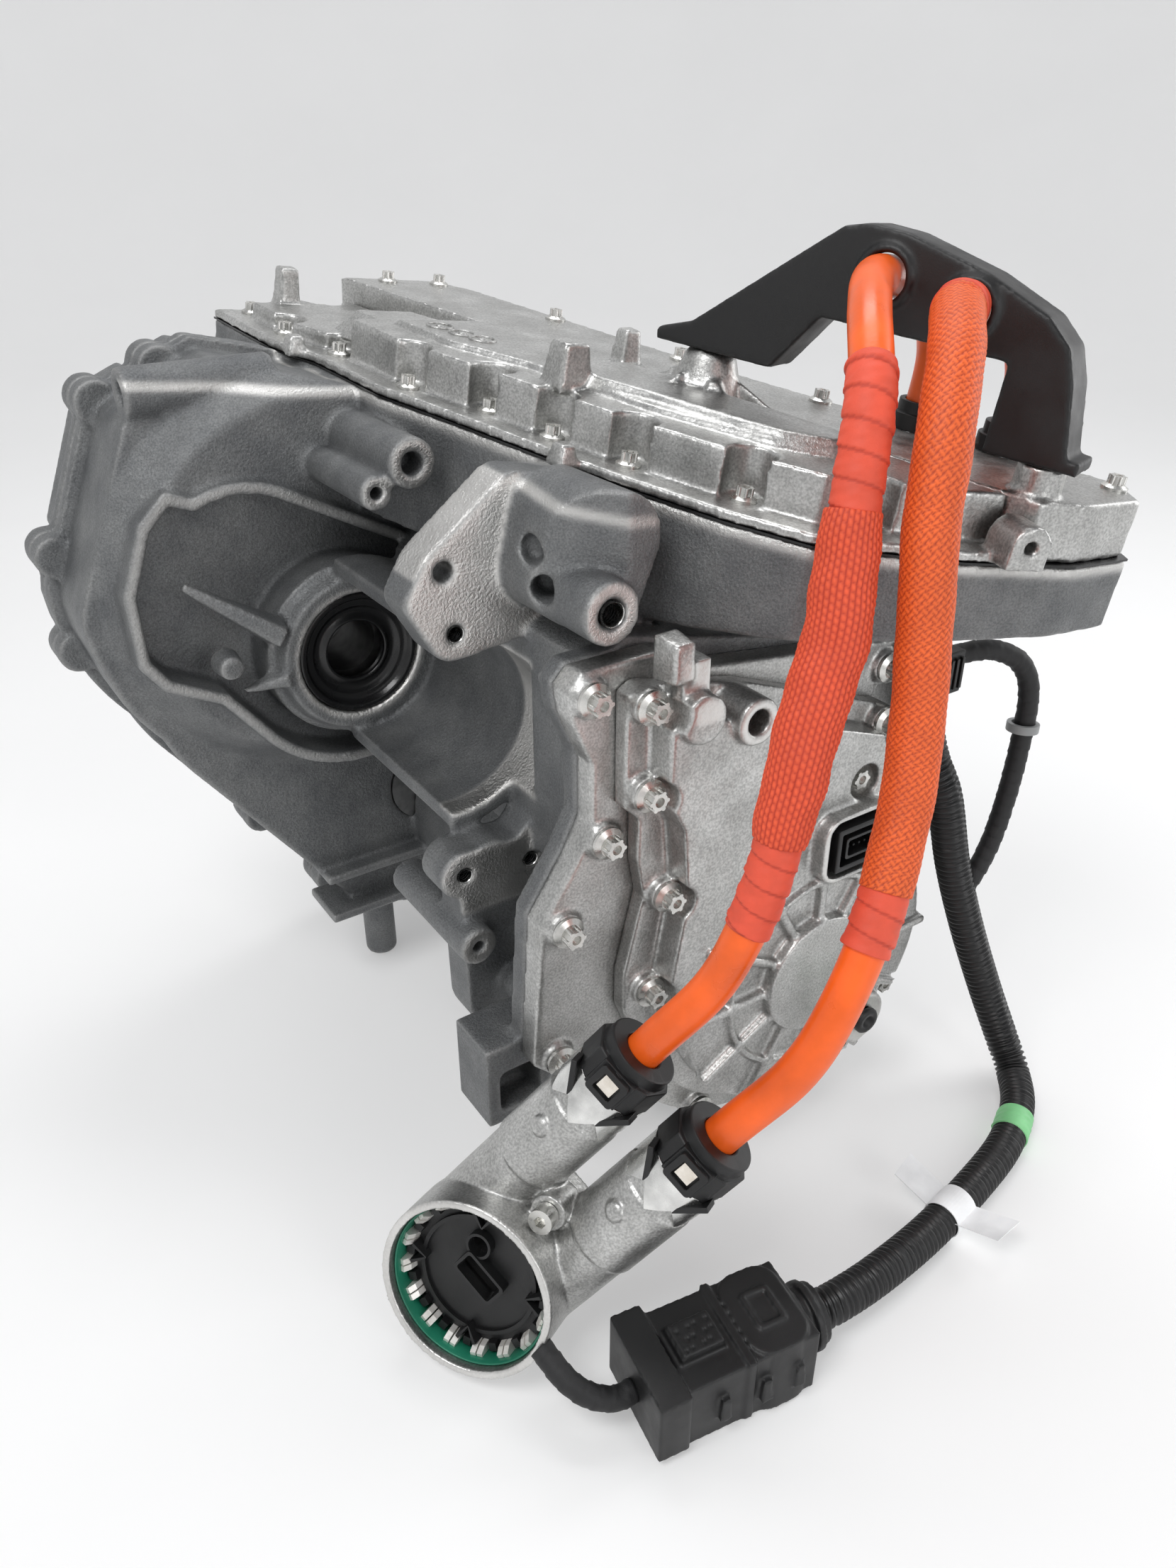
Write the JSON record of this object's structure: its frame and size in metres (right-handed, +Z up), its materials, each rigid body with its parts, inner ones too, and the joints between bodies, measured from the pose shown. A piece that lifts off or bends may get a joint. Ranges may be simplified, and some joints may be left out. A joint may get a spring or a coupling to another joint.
{
  "type": "electric drive unit",
  "caption": "Electric drive unit: motor, reduction gearbox with differential and inverter in one cast housing, with high-voltage cables to a right-angle connector and a signal harness.",
  "frame": {"origin": "centre of the output bore at the mouth of its seal", "axes": "+Y along the motor axis from the motor end to the gearbox, +X to the right seen from the motor end, +Z up"},
  "size_m": [0.4482, 0.5541, 0.4897],
  "materials": {
    "cast_grey": "shot-blasted casting, dusty",
    "cast_silver": "clean die casting",
    "plated_steel": "zinc plated",
    "gear_steel": "ground steel",
    "laminations": "stacked sheet",
    "copper": "copper",
    "iron": "machined",
    "black_rubber": "matt",
    "black_plastic": "moulded",
    "corrugated_black": "corrugated",
    "orange_jacket": "smooth jacket",
    "green_rubber": "matt",
    "green_board": "coated board",
    "grey_plastic": "moulded"
  },
  "bodies": {
    "housing": {"main_housing": "cast_grey", "gearbox_cover": "cast_grey", "end_shield": "cast_silver", "end_cover": "cast_silver", "inverter_cover": "cast_silver", "inverter_lid": "cast_silver", "inverter_gasket": "black_rubber", "cover_bolts": "plated_steel", "lid_screws": "plated_steel", "end_cover_bolts": "plated_steel", "end_shield_bolts": "plated_steel", "gearbox_bolts": "plated_steel", "stator_core": "laminations", "stator_windings": "copper", "rotor_bearings": "plated_steel", "rotor_seal": "black_rubber", "brush_holder": "black_plastic", "position_sensor": "green_board", "layshaft_bearings": "plated_steel", "differential_bearings": "plated_steel", "output_seal": "black_rubber", "rear_seal": "black_rubber", "oil_plugs": "plated_steel", "breather": "black_plastic", "coolant_pipe": "plated_steel", "power_module": "black_plastic", "capacitor": "black_plastic", "control_board": "green_board", "busbars": "copper", "cable_bracket": "black_plastic", "bracket_bolts": "plated_steel", "cable_glands": "black_plastic", "cable_ends": "orange_jacket", "left_cable": "orange_jacket", "right_cable": "orange_jacket", "connector_head": "cast_silver", "connector_caps": "black_plastic", "connector_insulator": "black_plastic", "contact_springs": "plated_steel", "connector_seal": "green_rubber", "signal_socket": "black_plastic", "harness_tube": "corrugated_black", "harness_branch": "corrugated_black", "harness_tie": "grey_plastic", "inline_plug": "black_plastic", "plug_pigtail": "corrugated_black"},
    "rotor": {"rotor_core": "laminations", "rotor_shaft": "gear_steel", "slip_rings": "copper", "sensor_wheel": "gear_steel", "drive_pinion": "gear_steel"},
    "layshaft_set": {"layshaft": "gear_steel", "layshaft_gear": "gear_steel"},
    "differential": {"ring_gear": "gear_steel", "differential_case": "iron", "side_gears": "gear_steel", "planet_gears": "gear_steel", "planet_pin": "gear_steel"},
    "captive_screw": {"connector_screw": "plated_steel"},
    "lock_slide": {"plug_lock": "black_plastic"}
  },
  "joints": [
    {"name": "rotor_spin", "type": "hinge", "parent": "housing", "child": "rotor", "pos_m": [0.15, 0, -0.142], "axis": [0, 1, 0], "continuous": true},
    {"name": "layshaft_spin", "type": "hinge", "parent": "housing", "child": "layshaft_set", "pos_m": [0.05272, 0, -0.11883], "axis": [0, 1, 0], "continuous": true},
    {"name": "output_spin", "type": "hinge", "parent": "housing", "child": "differential", "pos_m": [0, 0, 0], "axis": [0, 1, 0], "continuous": true},
    {"name": "screw_turn", "type": "hinge", "parent": "housing", "child": "captive_screw", "pos_m": [-0.04967, -0.27665, -0.17017], "axis": [-0.8114, -0.5012, 0.3007], "continuous": true},
    {"name": "lock_slide", "type": "slide", "parent": "housing", "child": "lock_slide", "axis": [-0.9877, 0.1564, 0], "range_m": [0, 0.0075]}
  ],
  "couplings": [
    {"joint": "layshaft_spin", "follows": "rotor_spin", "ratio": -0.33333},
    {"joint": "output_spin", "follows": "rotor_spin", "ratio": 0.11111}
  ]
}
